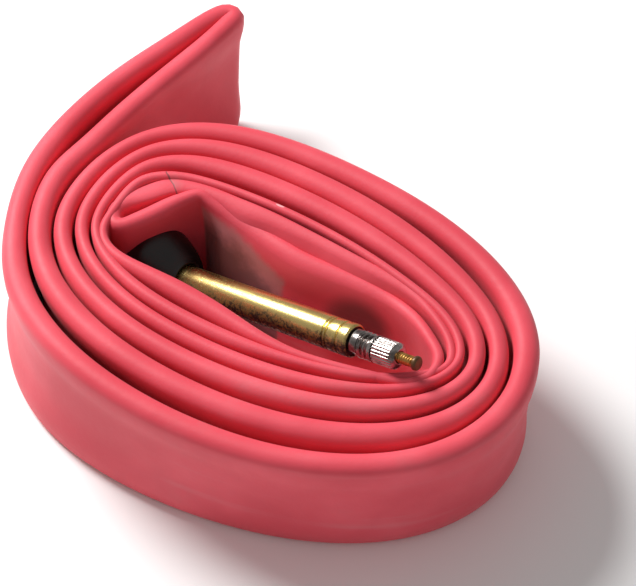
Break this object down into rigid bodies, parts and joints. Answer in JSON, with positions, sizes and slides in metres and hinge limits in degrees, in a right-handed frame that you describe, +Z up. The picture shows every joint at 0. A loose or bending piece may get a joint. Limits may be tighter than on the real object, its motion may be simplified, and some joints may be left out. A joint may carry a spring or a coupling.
{
  "type": "bicycle inner tube",
  "caption": "Flattened latex bicycle inner tube, folded double and rolled on edge into an oval roll, with its metal valve lying in the middle.",
  "frame": {"origin": "on the floor, under the middle of the whole roll's box", "axes": "+Z up out of the roll's edges, +X along the roll's long axis towards the valve's tip, +Y towards the loop that stands away from the roll"},
  "size_m": [0.1022, 0.091, 0.0314],
  "materials": {
    "latex": "matte pink latex, faintly powdered",
    "black_rubber": "smooth black rubber",
    "seal_rubber": "black seal rubber",
    "stem_brass": "smooth brass, spotted with tarnish",
    "pin_brass": "plain turned brass",
    "nickel": "bright nickel plate"
  },
  "bodies": {
    "tube_and_stem": {"tube": "latex", "valve_base": "black_rubber", "valve_stem": "stem_brass", "core_seal": "seal_rubber", "core_body": "nickel"},
    "pin": {"valve_pin": "pin_brass", "pin_seal": "seal_rubber"},
    "nut": {"lock_nut": "nickel"}
  },
  "joints": [
    {"name": "nut_turn", "type": "hinge", "parent": "tube_and_stem", "child": "nut", "pos_m": [0.02969, -0.01768, 0.02823], "axis": [0.9426, -0.1377, 0.3042], "range_deg": [0, 1621]},
    {"name": "pin_slide", "type": "slide", "parent": "tube_and_stem", "child": "pin", "axis": [0.9426, -0.1377, 0.3042], "range_m": [-0.00225, 0]}
  ],
  "couplings": [
    {"joint": "nut_turn", "follows": "pin_slide", "rad_per_m": -12566}
  ]
}
